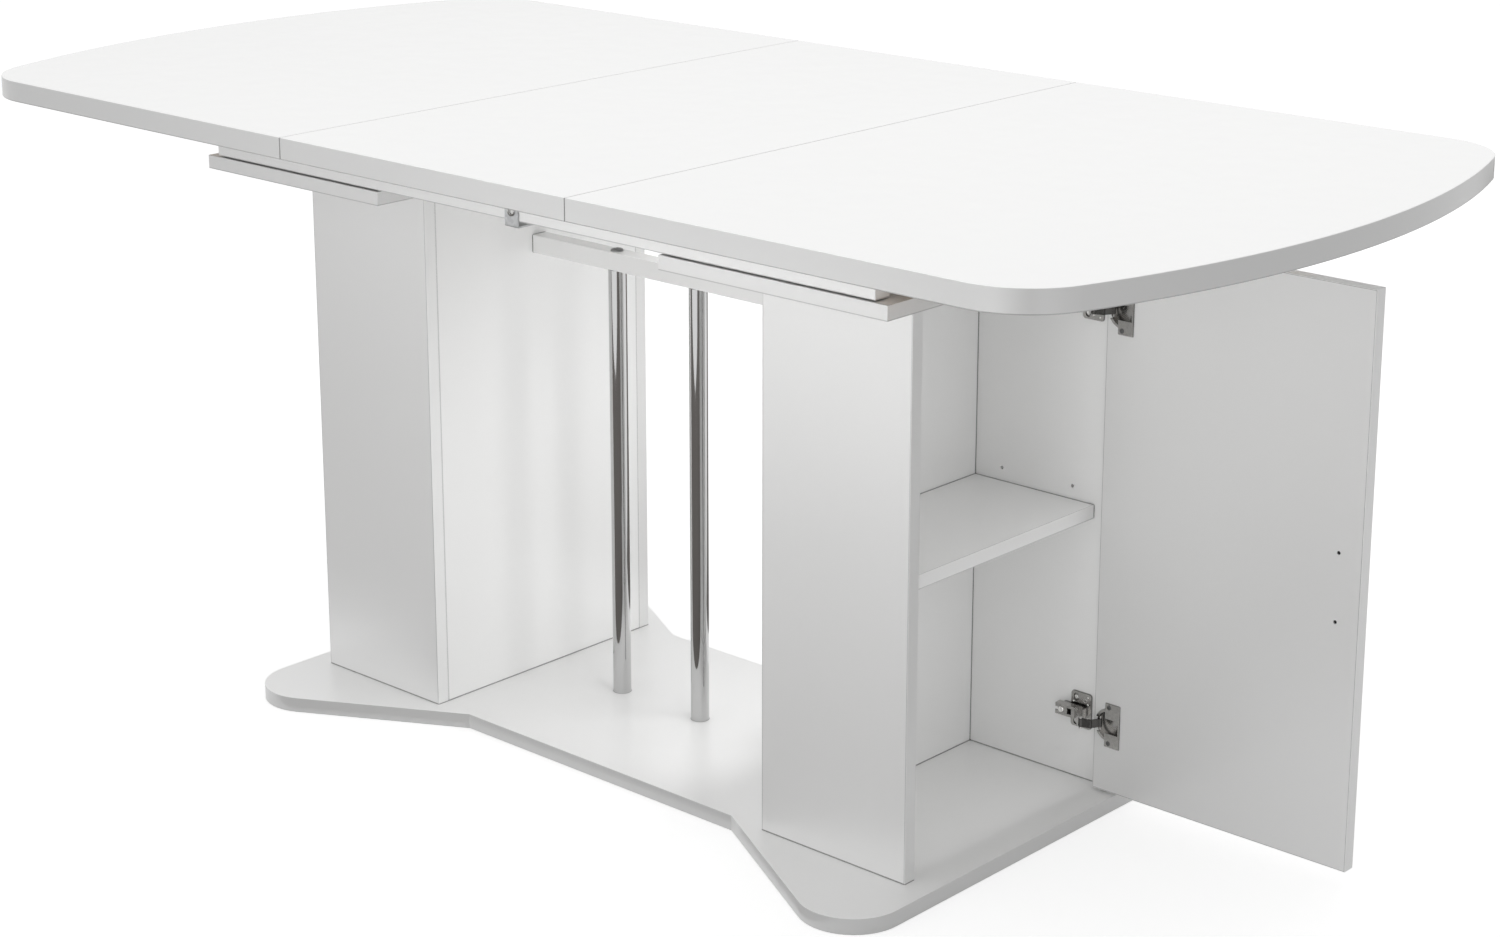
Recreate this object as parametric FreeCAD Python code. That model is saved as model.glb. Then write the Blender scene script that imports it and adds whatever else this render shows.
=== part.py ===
import FreeCAD, Part
import math
import os

# Extending kitchen table on two storage cabinets. Millimetres.
# +X runs along the table towards the cabinet whose door stands open, -Y is the front, +Z is up.
# The origin is on the floor, under the middle of the table top.

Vector = FreeCAD.Vector
UP = Vector(0, 0, 1)
DOWN = Vector(0, 0, -1)

# ---- driving dimensions: table top -------------------------------------------------------------
table_height = 760.0
top_length = 1723.0
top_width = 847.0
top_thickness = 24.5
leaf_width = 440.0
seam_gap = 0.5
end_radius = 1100.0
corner_radius = 90.0
top_edge_radius = 1.0

# ---- driving dimensions: boards and base -------------------------------------------------------
board_thickness = 16.0
board_edge_radius = 0.5
base_thickness = 18.0
base_length = 994.0
base_width = 586.0
base_waist_width = 355.0
base_waist_length = 428.0
base_corner_radius = 60.0

# ---- driving dimensions: cabinets --------------------------------------------------------------
cabinet_spacing = 527.0
cabinet_depth = 202.0
cabinet_width = 364.0
shelf_top_height = 347.5
shelf_end_gap = 1.0
shelf_door_gap = 2.8
shelf_back_gap = 0.3
shelf_pin_radius = 2.0
shelf_pin_flat = 1.0
shelf_pin_depth = 8.0
shelf_pin_reach = 9.0
shelf_pin_back_inset = 37.7
shelf_pin_front_inset = 30.7
pin_hole_pitch = 32.0

# ---- driving dimensions: frame under the top ---------------------------------------------------
deck_start = 218.0
deck_length = 304.0
deck_width = 581.0
rail_length = 1010.0
rail_thickness = 22.0
rail_height = 56.0
rail_setback = 2.0
spacer_thickness = 1.5
spacer_width = 12.0
spacer_recess = 5.0
guide_height = 10.0
guide_reach = 8.0
guide_seat = 4.0
guide_drop = 23.5
guide_end_gap = 1.0
runner_start = 232.0
runner_length = 420.0
runner_width = 22.0
runner_height = 42.0
runner_clearance = 0.5
strap_width = 20.0
strap_thickness = 2.0
strap_drop = 5.2
strap_leg = 31.5
strap_bend_radius = 1.8
strap_screw_height = 10.5

# ---- driving dimensions: poles and beam --------------------------------------------------------
pole_radius = 11.0
pole_wall = 1.5
pole_pitch = 130.7
plug_length = 20.0
plug_clearance = 0.1
beam_section = 22.0
beam_drop = 89.0
beam_edge_radius = 1.0
bolt_head_radius = 7.75
bolt_head_height = 3.0

# ---- driving dimensions: doors and handles -----------------------------------------------------
door_thickness = 16.0
door_side_gap = 2.3
door_bottom_gap = 3.0
door_top_gap = 4.7
handle_edge_distance = 28.0
handle_centre_height = 334.0
handle_hole_spacing = 76.0
handle_projection = 24.0
handle_bar_depth = 7.0
handle_bar_width = 8.0
handle_bar_overhang = 12.0
handle_post_radius = 3.8
handle_edge_radius = 2.0

# ---- driving dimensions: concealed hinges ------------------------------------------------------
lower_hinge_inset = 80.0
upper_hinge_inset = 77.3
pivot_ahead = 0.6
pivot_inside = 0.7
cup_radius = 17.5
cup_wall = 0.8
cup_depth = 12.5
cup_edge_distance = 21.5
cup_clearance = 0.1
flange_thickness = 1.2
flange_radius = 19.5
flange_start = 15.2
flange_width = 19.6
flange_height = 52.0
flange_edge_radius = 0.36
mouth_reach = 32.8
mouth_above = 7.5
mouth_below = 10.0
mouth_room = 1.0
cup_screw_distance = 20.5
cup_screw_spacing = 43.0
cup_pin_radius = 1.0
cup_pin_length = 16.4
cup_pin_inset = 8.3
cup_pin_depth = 0.5
cup_pin_clearance = 0.02
arm_rivet_radius = 1.25
arm_rivet_head = 1.9
arm_rivet_head_height = 0.5
arm_pin_reach = 31.0
pin_clearance = 0.05
arm_width = 13.0
arm_wall = 1.4
arm_height = 15.0
arm_back = 53.5
arm_bend = 27.0
arm_skirt = 6.0
arm_skirt_end = 22.0
arm_throat_start = 18.0
arm_throat_reach = 6.0
arm_ear_room = 4.4
arm_ear_radius = 2.0
arm_fork = 10.5
arm_fork_width = 3.8
arm_window_start = 37.5
arm_window_length = 6.0
arm_window_width = 7.0
link_height = 9.6
link_slab = 2.8
link_end_slab = 1.7
link_bow = 4.9
link_bow_place = 10.6
plate_back = 40.8
plate_length = 27.4
plate_height = 42.0
plate_thickness = 2.0
plate_corner_radius = 3.0
slot_width = 6.4
slot_length = 10.0
slot_depth = 1.2
spine_back = 50.5
spine_front = 18.5
spine_gap = 0.2
plate_screw_spacing = 28.0
plate_screw_place = 34.0
arm_screw_place = 45.5

# ---- driving dimensions: fasteners -------------------------------------------------------------
screw_clearance = 0.1
overcut = 1.0
frame_screw_head = 5.0
frame_screw_radius = 3.2
frame_screw_length = 50.0
frame_screw_inset = 40.0
back_screw_offset = 80.0
pan_head_radius = 5.5
pan_head_height = 2.4
pan_screw_radius = 2.4
head_crown = 0.45
rail_screw_length = 42.0
rail_screw_near_x = 270.0
rail_screw_far_x = 470.0
rail_screw_offset = 1.5
strap_screw_length = 18.0
runner_screw_length = 34.0
runner_screw_inset = 60.0
runner_screw_offset = 5.0
runner_screw_depth = 18.0
runner_well_clearance = 0.5
pole_bolt_radius = 2.9
pole_bolt_grip = 16.0
dowel_radius = 4.0
dowel_length = 30.0
dowel_depth = 10.0
dowel_inset = 60.0
small_head_radius = 3.6
small_head_height = 1.6
small_screw_radius = 1.6
plate_screw_length = 13.0
plate_screw_head_radius = 2.9
plate_screw_head_height = 1.1
cup_screw_length = 11.0
cup_screw_head_radius = 2.8
cup_screw_head_height = 0.8
arm_screw_length = 7.0
handle_stud_radius = 2.0
handle_stud_recess = 1.5
handle_stud_grip = 9.0

# ---- places worked out from them ---------------------------------------------------------------
top_underside = table_height - top_thickness
rail_bottom = top_underside - rail_height
deck_top = rail_bottom - spacer_thickness
cabinet_top = deck_top - board_thickness
cabinet_height = cabinet_top - base_thickness
cabinet_back = cabinet_spacing / 2
cabinet_front = cabinet_back + cabinet_depth
panel_out = cabinet_width / 2
panel_in = panel_out - board_thickness
rail_out = deck_width / 2 - rail_setback
rail_in = rail_out - rail_thickness
guide_middle = top_underside - guide_drop
beam_top = cabinet_top - beam_drop
beam_bottom = beam_top - beam_section
pole_length = beam_bottom - base_thickness
shelf_bottom = shelf_top_height - board_thickness
shelf_pin_height = shelf_bottom - shelf_pin_flat

door_out = cabinet_front
door_in = door_out - door_thickness
door_edge = panel_in - door_side_gap
door_bottom = base_thickness + door_bottom_gap
door_top = cabinet_top - door_top_gap
hinge_heights = (door_bottom + lower_hinge_inset, door_top - upper_hinge_inset)

# The door turns about this upright line, just in front of the rear panel's inner corner.
turn_x = cabinet_front + pivot_ahead
turn_y = panel_in - pivot_inside

# Pivots of the hinge's link, seen from above, with the door open at a right angle. The one in the
# arm is as far from the one in the cup with the door open as with it closed, so the link reaches
# it at both ends of the swing. In between, the link's end leaves the arm, between its two ears.
open_edge = turn_x + turn_y - door_edge
open_inner_face = turn_y + door_in - turn_x
cup_pin_x = open_edge + cup_pin_inset
cup_pin_y = open_inner_face + cup_pin_depth
bisector = math.atan2(cup_pin_y - turn_y, cup_pin_x - turn_x) - math.radians(45)
arm_pin_x = turn_x + arm_pin_reach * math.cos(bisector)
arm_pin_y = turn_y + arm_pin_reach * math.sin(bisector)
link_angle_open = math.degrees(math.atan2(cup_pin_y - arm_pin_y, cup_pin_x - arm_pin_x))
closed_cup_pin_x = turn_x + cup_pin_y - turn_y
closed_cup_pin_y = turn_y - cup_pin_x + turn_x
link_angle_closed = math.degrees(math.atan2(closed_cup_pin_y - arm_pin_y, closed_cup_pin_x - arm_pin_x))
link_turn = link_angle_closed - link_angle_open


# ---- shapes that several pieces use ------------------------------------------------------------
def block(x0, x1, y0, y1, z0, z1):
    return Part.makeBox(x1 - x0, y1 - y0, z1 - z0, Vector(x0, y0, z0))


def board(x0, x1, y0, y1, z0, z1, edge_radius=board_edge_radius):
    plain = block(x0, x1, y0, y1, z0, z1)
    return plain.makeFillet(edge_radius, plain.Edges)


def rod(radius, start, direction, length):
    return Part.makeCylinder(radius, length, start, direction)


def upright_rod(radius, x, y, middle, length):
    return rod(radius, Vector(x, y, middle - length / 2), UP, length)


def prism(points, middle, height):
    """An upright solid over a plan outline of (x, y) points, centred on a height."""
    corners = [Vector(x, y, middle - height / 2) for x, y in points]
    face = Part.Face(Part.makePolygon(corners + corners[:1]))
    return face.extrude(Vector(0, 0, height))


def slab(start, end, thickness, middle, height):
    """An upright strip of even thickness between two plan points."""
    along = Vector(end[0] - start[0], end[1] - start[1], 0).normalize()
    side = Vector(-along.y, along.x, 0) * (thickness / 2)
    outline = []
    for point, sign in ((start, 1), (end, 1), (end, -1), (start, -1)):
        outline.append((point[0] + sign * side.x, point[1] + sign * side.y))
    return prism(outline, middle, height)


def countersunk_screw(seat, direction, head_radius, radius, length, grow=0.0):
    """A flat-headed screw; grow makes the hole that it goes in."""
    head_depth = head_radius - radius
    head = Part.makeCone(head_radius + grow, radius + grow, head_depth, seat, direction)
    return head.fuse(rod(radius + grow, seat, direction, length + grow)).removeSplitter()


def pan_screw(seat, direction, head_radius, head_height, radius, length):
    """A screw whose domed head stands on the face at its seat."""
    head = rod(head_radius, seat, -direction, head_height)
    crown = [edge for edge in head.Edges if edge.CenterOfMass.distanceToPoint(seat) > head_height / 2]
    head = head.makeFillet(head_height * head_crown, crown[:1])
    return head.fuse(rod(radius, seat, direction, length)).removeSplitter()


def screw_hole(seat, direction, radius, length):
    return rod(radius + screw_clearance, seat, direction, length + screw_clearance)


def drilled(solid, cutters):
    for cutter in cutters:
        solid = solid.cut(cutter)
    return solid.removeSplitter()


def mirrored(shape):
    return shape.mirror(Vector(0, 0, 0), Vector(1, 0, 0))


def front_copy(shape):
    return shape.mirror(Vector(0, 0, 0), Vector(0, 1, 0))


def turned(shape, x, y, degrees):
    copy = shape.copy()
    copy.rotate(Vector(x, y, 0), UP, degrees)
    return copy


def group(solids):
    return Part.makeCompound(list(solids))


# ---- fastener positions of the right-hand cabinet ----------------------------------------------
def frame_screw_places():
    """Plan points of the screws that hold the three upright panels at top and bottom."""
    panel_middle = panel_in + board_thickness / 2
    places = []
    for x in (cabinet_back + frame_screw_inset, cabinet_front - frame_screw_inset):
        places += [(x, -panel_middle), (x, panel_middle)]
    back_x = cabinet_back + board_thickness / 2
    return places + [(back_x, -back_screw_offset), (back_x, back_screw_offset)]


def base_screws(grow=0.0):
    return [countersunk_screw(Vector(x, y, 0), UP, frame_screw_head, frame_screw_radius,
                              frame_screw_length, grow) for x, y in frame_screw_places()]


def deck_screws(grow=0.0):
    return [countersunk_screw(Vector(x, y, deck_top), DOWN, frame_screw_head, frame_screw_radius,
                              frame_screw_length, grow) for x, y in frame_screw_places()]


def beam_screw(grow=0.0):
    seat = Vector(cabinet_back + board_thickness, 0, beam_bottom + beam_section / 2)
    return countersunk_screw(seat, Vector(-1, 0, 0), frame_screw_head, frame_screw_radius,
                             frame_screw_length, grow)


def dowels(grow=0.0):
    x = cabinet_back + board_thickness / 2
    heights = (base_thickness + dowel_inset, base_thickness + cabinet_height / 2, cabinet_top - dowel_inset)
    pegs = []
    for z in heights:
        start = Vector(x, panel_in + dowel_depth + grow, z)
        peg = rod(dowel_radius + grow, start, Vector(0, -1, 0), dowel_length + 2 * grow)
        pegs += [peg, front_copy(peg)]
    return pegs


def rail_screw_seats():
    """The four seats under one deck board, front and rear."""
    y = rail_out - rail_thickness / 2 + rail_screw_offset
    return [Vector(x, sign * y, cabinet_top)
            for x in (rail_screw_near_x, rail_screw_far_x) for sign in (-1, 1)]


def shelf_pin_places():
    shelf_front = door_in - shelf_door_gap
    return (cabinet_back + board_thickness + shelf_pin_back_inset, shelf_front - shelf_pin_front_inset)


# ---- base plate, table top ---------------------------------------------------------------------
def base_end_corner():
    """The middle of a rounded end corner, and the angle of the slanted side that runs into it."""
    centre_x = base_length / 2 - base_corner_radius
    centre_y = base_width / 2 - base_corner_radius
    run_x = centre_x - base_waist_length / 2
    run_y = centre_y - base_waist_width / 2
    distance = math.hypot(run_x, run_y)
    slope = math.atan2(run_y, run_x) + math.asin(base_corner_radius / distance)
    return centre_x, centre_y, slope


def base_plate():
    """A bow-tie plate: wide rounded ends under the cabinets and a waist between them."""
    centre_x, centre_y, slope = base_end_corner()
    radius = base_corner_radius
    waist = (base_waist_length / 2, base_waist_width / 2)
    tangent = (centre_x - radius * math.sin(slope), centre_y + radius * math.cos(slope))
    middle = slope / 2 + math.radians(45)
    crown = (centre_x + radius * math.cos(middle), centre_y + radius * math.sin(middle))
    end = (centre_x + radius, centre_y)

    def corner(point, sx, sy):
        return Vector(sx * point[0], sy * point[1], 0)

    edges = []
    for sx in (1, -1):
        for sy in (1, -1):
            start, bend = corner(waist, sx, sy), corner(tangent, sx, sy)
            edges.append(Part.makeLine(start, bend))
            edges.append(Part.Arc(bend, corner(crown, sx, sy), corner(end, sx, sy)).toShape())
        edges.append(Part.makeLine(corner(end, sx, 1), corner(end, sx, -1)))
    for sy in (1, -1):
        edges.append(Part.makeLine(corner(waist, 1, sy), corner(waist, -1, sy)))
    outline = Part.Wire(Part.__sortEdges__(edges))
    plate = Part.Face(outline).extrude(Vector(0, 0, base_thickness))
    rims = [edge for edge in plate.Edges if edge.BoundBox.ZLength < 0.001]
    plate = plate.makeFillet(board_edge_radius, rims)
    cutters = base_screws(screw_clearance)
    cutters += [mirrored(cutter) for cutter in cutters]
    cutters += [pole_floor_screw(x, screw_clearance) for x in pole_places()]
    return drilled(plate, cutters)


def top_half():
    """The right-hand half: straight seam, bowed end, large round corners."""
    plain = block(leaf_width / 2 + seam_gap / 2, top_length / 2, -top_width / 2, top_width / 2,
                  top_underside, table_height)
    bow = Part.makeCylinder(end_radius, top_thickness,
                            Vector(top_length / 2 - end_radius, 0, top_underside), UP)
    half = plain.common(bow)
    corners = []
    for edge in half.Edges:
        box = edge.BoundBox
        if box.ZLength > top_thickness / 2 and box.XMin > leaf_width and box.YLength < 0.001:
            corners.append(edge)
    half = half.makeFillet(corner_radius, corners)
    rims = [edge for edge in half.Edges if edge.BoundBox.ZLength < 0.001]
    half = half.makeFillet(top_edge_radius, rims)
    return drilled(half, runner_screw_holes())


def insert_leaf():
    reach = leaf_width / 2 - seam_gap / 2
    return board(-reach, reach, -top_width / 2, top_width / 2, top_underside, table_height, top_edge_radius)


# ---- cabinet boards, right-hand cabinet --------------------------------------------------------
def side_panel():
    """A side panel as it stands at the rear, with its shelf pin holes."""
    panel = board(cabinet_back, cabinet_front, panel_in, panel_out, base_thickness, cabinet_top)
    cutters = base_screws(screw_clearance) + deck_screws(screw_clearance) + dowels(screw_clearance)
    for x in shelf_pin_places():
        for z in (shelf_pin_height, shelf_pin_height + pin_hole_pitch):
            seat = Vector(x, panel_in, z)
            cutters.append(screw_hole(seat, Vector(0, 1, 0), shelf_pin_radius, shelf_pin_depth))
    return drilled(panel, [cutter for cutter in cutters if cutter.BoundBox.YMax > panel_in])


def rear_panel():
    """The side panel that also takes the hinge plates' screws."""
    cutters = [screw_hole(seat, Vector(0, 1, 0), small_screw_radius, plate_screw_length)
               for seat in plate_screw_seats()]
    return drilled(side_panel(), cutters)


def back_panel():
    panel = board(cabinet_back, cabinet_back + board_thickness, -panel_in, panel_in,
                  base_thickness, cabinet_top)
    cutters = base_screws(screw_clearance) + deck_screws(screw_clearance) + dowels(screw_clearance)
    cutters.append(beam_screw(screw_clearance))
    return drilled(panel, cutters)


def shelf():
    reach = panel_in - shelf_end_gap
    back = cabinet_back + board_thickness + shelf_back_gap
    return board(back, door_in - shelf_door_gap, -reach, reach, shelf_bottom, shelf_top_height)


def shelf_pins():
    """Steel pegs with a flat on top, on which the shelf lies."""
    pegs = []
    for x in shelf_pin_places():
        start = Vector(x, panel_in + shelf_pin_depth, shelf_pin_height)
        peg = rod(shelf_pin_radius, start, Vector(0, -1, 0), shelf_pin_depth + shelf_pin_reach)
        above = block(x - shelf_pin_radius, x + shelf_pin_radius, panel_in - shelf_pin_reach, panel_in,
                      shelf_bottom, shelf_bottom + shelf_pin_radius)
        peg = peg.cut(above)
        pegs += [peg, front_copy(peg)]
    return group(pegs)


# ---- frame under the top -----------------------------------------------------------------------
def deck_board():
    """The wide board on one cabinet that carries the rails."""
    panel = board(deck_start, deck_start + deck_length, -deck_width / 2, deck_width / 2,
                  cabinet_top, deck_top)
    cutters = deck_screws(screw_clearance)
    cutters += [screw_hole(seat, UP, pan_screw_radius, board_thickness) for seat in rail_screw_seats()]
    return drilled(panel, cutters)


def rail_screws():
    return [pan_screw(seat, UP, pan_head_radius, pan_head_height, pan_screw_radius, rail_screw_length)
            for seat in rail_screw_seats()]


def strap_screw_seat():
    return Vector(0, rail_out + strap_thickness, rail_bottom + strap_screw_height)


def rear_rail():
    """A long rail with a groove on its inner face for the guide strip."""
    rail = board(-rail_length / 2, rail_length / 2, rail_in, rail_out, rail_bottom, top_underside)
    groove = block(-rail_length, rail_length, rail_in - overcut, rail_in + guide_seat,
                   guide_middle - guide_height / 2, guide_middle + guide_height / 2)
    cutters = [groove]
    for seat in rail_screw_seats():
        hole = screw_hole(seat, UP, pan_screw_radius, rail_screw_length)
        cutters += [hole, mirrored(hole)]
    cutters.append(screw_hole(strap_screw_seat(), Vector(0, -1, 0), pan_screw_radius, strap_screw_length))
    return drilled(rail, cutters)


def rear_guide():
    """The hardwood strip let into the rail; the runner bars slide along it."""
    half = rail_length / 2 - guide_end_gap
    return block(-half, half, rail_in - guide_reach, rail_in + guide_seat,
                 guide_middle - guide_height / 2, guide_middle + guide_height / 2)


def rail_spacers():
    """Thin strips that keep the rails just clear of the deck boards."""
    outer = rail_out - spacer_recess
    strips = []
    strip = block(deck_start + spacer_recess, rail_length / 2 - spacer_recess, outer - spacer_width,
                  outer, deck_top, rail_bottom)
    for seat in rail_screw_seats():
        strip = strip.cut(screw_hole(seat, UP, pan_screw_radius, rail_screw_length))
    for near in (strip, front_copy(strip)):
        strips += [near, mirrored(near)]
    return group(strips)


def centre_strap():
    """A bent steel strip under both rails at mid length, screwed to their outer faces."""
    outer = rail_out + strap_thickness
    low = rail_bottom - strap_drop - strap_thickness
    blank = block(-strap_width / 2, strap_width / 2, -outer, outer, low, low + strap_leg)
    bends = [edge for edge in blank.Edges
             if edge.BoundBox.XLength > strap_width / 2 and edge.BoundBox.ZMax < low + strap_thickness]
    blank = blank.makeFillet(strap_bend_radius, bends)
    space = block(-strap_width, strap_width, -rail_out, rail_out, low + strap_thickness,
                  low + strap_leg + overcut)
    hole = screw_hole(strap_screw_seat(), Vector(0, -1, 0), pan_screw_radius, strap_screw_length)
    return drilled(blank, [space, hole, front_copy(hole)])


def strap_screws():
    screw = pan_screw(strap_screw_seat(), Vector(0, -1, 0), pan_head_radius, pan_head_height,
                      pan_screw_radius, strap_screw_length)
    return group([screw, front_copy(screw)])


# ---- runner bars under the right-hand half -----------------------------------------------------
def runner_screw_seats():
    y = rail_in - runner_clearance - runner_width / 2 - runner_screw_offset
    low = top_underside - runner_height
    places = (runner_start + runner_screw_inset, runner_start + runner_length / 2,
              runner_start + runner_length - runner_screw_inset)
    return [Vector(x, y, low + runner_screw_depth) for x in places]


def runner_screw_holes():
    holes = []
    for seat in runner_screw_seats():
        hole = screw_hole(seat, UP, pan_screw_radius, runner_screw_length)
        holes += [hole, front_copy(hole)]
    return holes


def runner_bars():
    """Grooved bars under the half that slide on the rails' guide strips."""
    outer = rail_in - runner_clearance
    low = top_underside - runner_height
    bar = board(runner_start, runner_start + runner_length, outer - runner_width, outer, low, top_underside)
    groove = block(runner_start - overcut, runner_start + runner_length + overcut,
                   rail_in - guide_reach - runner_clearance, outer + overcut,
                   guide_middle - guide_height / 2 - runner_clearance,
                   guide_middle + guide_height / 2 + runner_clearance)
    cutters = [groove]
    for seat in runner_screw_seats():
        well = Vector(seat.x, seat.y, low - overcut)
        cutters.append(rod(pan_head_radius + runner_well_clearance, well, UP, seat.z - low + overcut))
        cutters.append(screw_hole(seat, UP, pan_screw_radius, runner_screw_length))
    bar = drilled(bar, cutters)
    return group([bar, front_copy(bar)])


def runner_screws():
    screws = []
    for seat in runner_screw_seats():
        screw = pan_screw(seat, UP, pan_head_radius, pan_head_height, pan_screw_radius, runner_screw_length)
        screws += [screw, front_copy(screw)]
    return group(screws)


# ---- poles and beam ----------------------------------------------------------------------------
def pole_places():
    return (-pole_pitch, 0.0, pole_pitch)


def pole_floor_screw(x, grow=0.0):
    length = base_thickness + pole_bolt_grip
    return countersunk_screw(Vector(x, 0, 0), UP, frame_screw_head, pole_bolt_radius, length, grow)


def pole_bolt(x):
    length = beam_section + pole_bolt_grip
    return pan_screw(Vector(x, 0, beam_top), DOWN, bolt_head_radius, bolt_head_height,
                     pole_bolt_radius, length)


def pole(x):
    foot = Vector(x, 0, base_thickness)
    return rod(pole_radius, foot, UP, pole_length).cut(rod(pole_radius - pole_wall, foot, UP, pole_length))


def pole_plugs():
    """Threaded plugs in both ends of every pole."""
    radius = pole_radius - pole_wall - plug_clearance
    plugs = []
    for x in pole_places():
        for z in (base_thickness, beam_bottom - plug_length):
            plug = rod(radius, Vector(x, 0, z), UP, plug_length)
            bore = rod(pole_bolt_radius + screw_clearance, Vector(x, 0, z), UP, plug_length)
            plugs.append(plug.cut(bore))
    return group(plugs)


def pole_beam():
    half = beam_section / 2
    beam = board(-cabinet_back, cabinet_back, -half, half, beam_bottom, beam_top, beam_edge_radius)
    cutters = []
    for x in pole_places():
        cutters.append(screw_hole(Vector(x, 0, beam_top), DOWN, pole_bolt_radius, beam_section))
    cutters += [beam_screw(screw_clearance), mirrored(beam_screw(screw_clearance))]
    return drilled(beam, cutters)


# ---- right-hand door, closed -------------------------------------------------------------------
def handle_places():
    y = -door_edge + handle_edge_distance
    half = handle_hole_spacing / 2
    return [Vector(door_out, y, handle_centre_height + sign * half) for sign in (-1, 1)]


def cup_axis(height):
    return Vector(door_in, door_edge - cup_edge_distance, height)


def beyond_flat(height, inset):
    """The room on the hinge side of the cup's flat, which lines up with the flange's far edge."""
    flat = door_edge - flange_start - flange_width + inset
    return block(cabinet_back, cabinet_front, flat, door_edge,
                 height - flange_height, height + flange_height)


def cup_screw_seats():
    seats = []
    for height in hinge_heights:
        for sign in (-1, 1):
            seats.append(Vector(door_in - flange_thickness, door_edge - cup_screw_distance,
                                height + sign * cup_screw_spacing / 2))
    return seats


def door():
    panel = board(door_in, door_out, -door_edge, door_edge, door_bottom, door_top)
    out = Vector(1, 0, 0)
    cutters = [rod(cup_radius + cup_clearance, cup_axis(height), out, cup_depth + cup_clearance)
               .common(beyond_flat(height, -cup_clearance)) for height in hinge_heights]
    cutters += [screw_hole(seat, out, small_screw_radius, cup_screw_length) for seat in cup_screw_seats()]
    for place in handle_places():
        inner = Vector(door_in, place.y, place.z)
        cutters.append(screw_hole(inner, out, handle_stud_radius, door_thickness))
    return drilled(panel, cutters)


def handle():
    """A straight bar on two round posts."""
    bottom, top = handle_places()
    bar_in = door_out + handle_projection - handle_bar_depth
    post_length = handle_projection - handle_bar_depth / 2
    half = handle_bar_width / 2
    grip = board(bar_in, door_out + handle_projection, bottom.y - half, bottom.y + half,
                 bottom.z - handle_bar_overhang, top.z + handle_bar_overhang, handle_edge_radius)
    for place in (bottom, top):
        grip = grip.fuse(rod(handle_post_radius, place, Vector(1, 0, 0), post_length))
    grip = grip.removeSplitter()
    return drilled(grip, [screw_hole(place, Vector(1, 0, 0), handle_stud_radius, handle_stud_grip)
                          for place in (bottom, top)])


def handle_studs():
    """Headless studs from the posts into the door, sunk a little below its inner face."""
    length = door_thickness - handle_stud_recess + handle_stud_grip
    return group([rod(handle_stud_radius, Vector(door_in + handle_stud_recess, place.y, place.z),
                      Vector(1, 0, 0), length) for place in handle_places()])


def cup_pin(height, grow=0.0):
    return upright_rod(cup_pin_radius + grow, closed_cup_pin_x, closed_cup_pin_y, height, cup_pin_length)


def hinge_cup(height):
    """A pressed cup let into the door, with a round rim and a long flange that holds its screws."""
    axis = cup_axis(height)
    out = Vector(1, 0, 0)
    face = door_in - flange_thickness
    shell = rod(cup_radius, axis, out, cup_depth).common(beyond_flat(height, 0.0))
    rim = rod(flange_radius, Vector(face, axis.y, height), out, flange_thickness)
    rim = rim.common(beyond_flat(height, 0.0))
    wing = board(face, door_in, door_edge - flange_start - flange_width, door_edge - flange_start,
                 height - flange_height / 2, height + flange_height / 2, flange_edge_radius)
    cup = shell.fuse(rim).fuse(wing)
    pocket = rod(cup_radius - cup_wall, axis, out, cup_depth - cup_wall)
    pocket = pocket.common(beyond_flat(height, cup_wall))
    room = cup_radius + mouth_room
    mouth_open = block(face - overcut, door_in, door_edge - flange_start, door_edge,
                       height - room, height + room)
    mouth_ring = rod(cup_radius - cup_wall, Vector(face - overcut, axis.y, height), out,
                     flange_thickness + overcut)
    mouth_slot = block(face - overcut, door_in, door_edge - mouth_reach,
                       door_edge - flange_start + mouth_room, height - mouth_below, height + mouth_above)
    relief = block(face - overcut, door_in, axis.y, door_edge, height - mouth_below, height + mouth_above)
    cutters = [pocket, mouth_ring.common(mouth_open), mouth_slot, relief.common(mouth_open)]
    cutters.append(cup_pin(height, cup_pin_clearance))
    cutters += [screw_hole(seat, out, small_screw_radius, cup_screw_length) for seat in cup_screw_seats()]
    return drilled(cup, cutters)


def cup_screws():
    return group([pan_screw(seat, Vector(1, 0, 0), cup_screw_head_radius, cup_screw_head_height,
                            small_screw_radius, cup_screw_length) for seat in cup_screw_seats()])


# ---- cabinet side of the right-hand hinges -----------------------------------------------------
def from_panel(distance):
    """The y of a plane this far in from the rear panel's inner face."""
    return panel_in - distance


def plate_screw_seats():
    x = cabinet_front - plate_screw_place
    return [Vector(x, from_panel(plate_thickness - slot_depth), height + sign * plate_screw_spacing / 2)
            for height in hinge_heights for sign in (-1, 1)]


def arm_screw_seat(height):
    return Vector(cabinet_front - arm_screw_place, from_panel(arm_height), height)


def slot_recess(seat):
    """The sunk part of an upright slot, in which a plate screw's head lies."""
    run = slot_length - slot_width
    low, high = seat - UP * (run / 2), seat + UP * (run / 2)
    out = Vector(0, -1, 0)
    recess = block(seat.x - slot_width / 2, seat.x + slot_width / 2, seat.y - slot_depth - overcut, seat.y,
                   low.z, high.z)
    for end in (low, high):
        recess = recess.fuse(rod(slot_width / 2, end, out, slot_depth + overcut))
    return recess


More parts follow.
